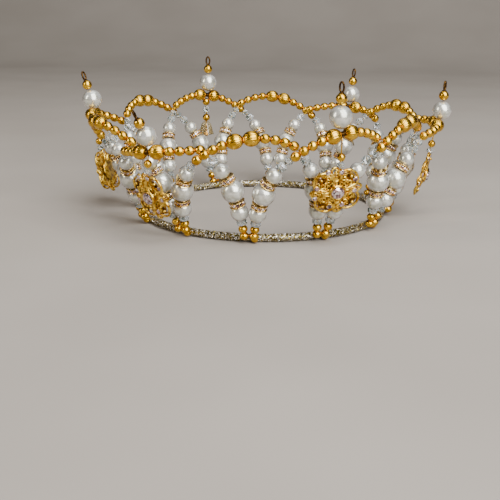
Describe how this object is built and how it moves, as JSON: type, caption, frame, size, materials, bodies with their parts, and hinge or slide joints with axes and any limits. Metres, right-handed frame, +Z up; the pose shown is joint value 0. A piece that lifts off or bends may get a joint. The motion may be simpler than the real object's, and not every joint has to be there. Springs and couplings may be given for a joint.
{
  "type": "tiara",
  "caption": "Round beaded crown on a wound wire ring: interlaced arches of gold beads over leaning pearl strands, with pearl finials and pierced flowers.",
  "frame": {"origin": "centre of the base ring, on the surface that the crown stands on", "axes": "+Z up through the crown; -Y towards its front; +X towards the wearer's left, across the widest part"},
  "size_m": [0.1926, 0.1744, 0.0765],
  "materials": {
    "glitter_braid": "metallic glitter braid wound round a wire ring",
    "gold_bead": "polished gold plating over beads, rondelles and wire",
    "pearl": "pearl lacquer over a moulded bead",
    "antique_brass": "darkened brass wire",
    "gold_filigree": "gold plated cast filigree set with clear glass stones",
    "champagne_glass": "pale champagne moulded bell bead",
    "crystal": "clear cut glass beads and stones"
  },
  "bodies": {
    "root": {"base_ring": "glitter_braid", "arch_01": "gold_bead", "arch_02": "gold_bead", "arch_03": "gold_bead", "arch_04": "gold_bead", "arch_05": "gold_bead", "arch_06": "gold_bead", "arch_07": "gold_bead", "arch_08": "gold_bead", "arch_09": "gold_bead", "arch_10": "gold_bead", "arch_11": "gold_bead", "arch_12": "gold_bead", "strand_01_left": "pearl", "strand_01_right": "pearl", "strand_02_left": "pearl", "strand_02_right": "pearl", "strand_03_left": "pearl", "strand_03_right": "pearl", "strand_04_left": "pearl", "strand_04_right": "pearl", "strand_05_left": "pearl", "strand_05_right": "pearl", "strand_06_left": "pearl", "strand_06_right": "pearl", "strand_07_left": "pearl", "strand_07_right": "pearl", "strand_08_left": "pearl", "strand_08_right": "pearl", "strand_09_left": "pearl", "strand_09_right": "pearl", "strand_10_left": "pearl", "strand_10_right": "pearl", "strand_11_left": "pearl", "strand_11_right": "pearl", "strand_12_left": "pearl", "strand_12_right": "pearl", "finial_pearl_02": "pearl", "finial_pearl_04": "pearl", "finial_pearl_06": "pearl", "finial_pearl_08": "pearl", "finial_pearl_10": "pearl", "finial_pearl_12": "pearl", "eye_pin_02": "antique_brass", "eye_pin_04": "antique_brass", "eye_pin_06": "antique_brass", "eye_pin_08": "antique_brass", "eye_pin_10": "antique_brass", "eye_pin_12": "antique_brass", "flower_02": "gold_filigree", "flower_04": "gold_filigree", "flower_10": "gold_filigree", "flower_12": "gold_filigree", "bell_drop_06": "champagne_glass", "bell_drop_08": "champagne_glass"}
  },
  "joints": []
}
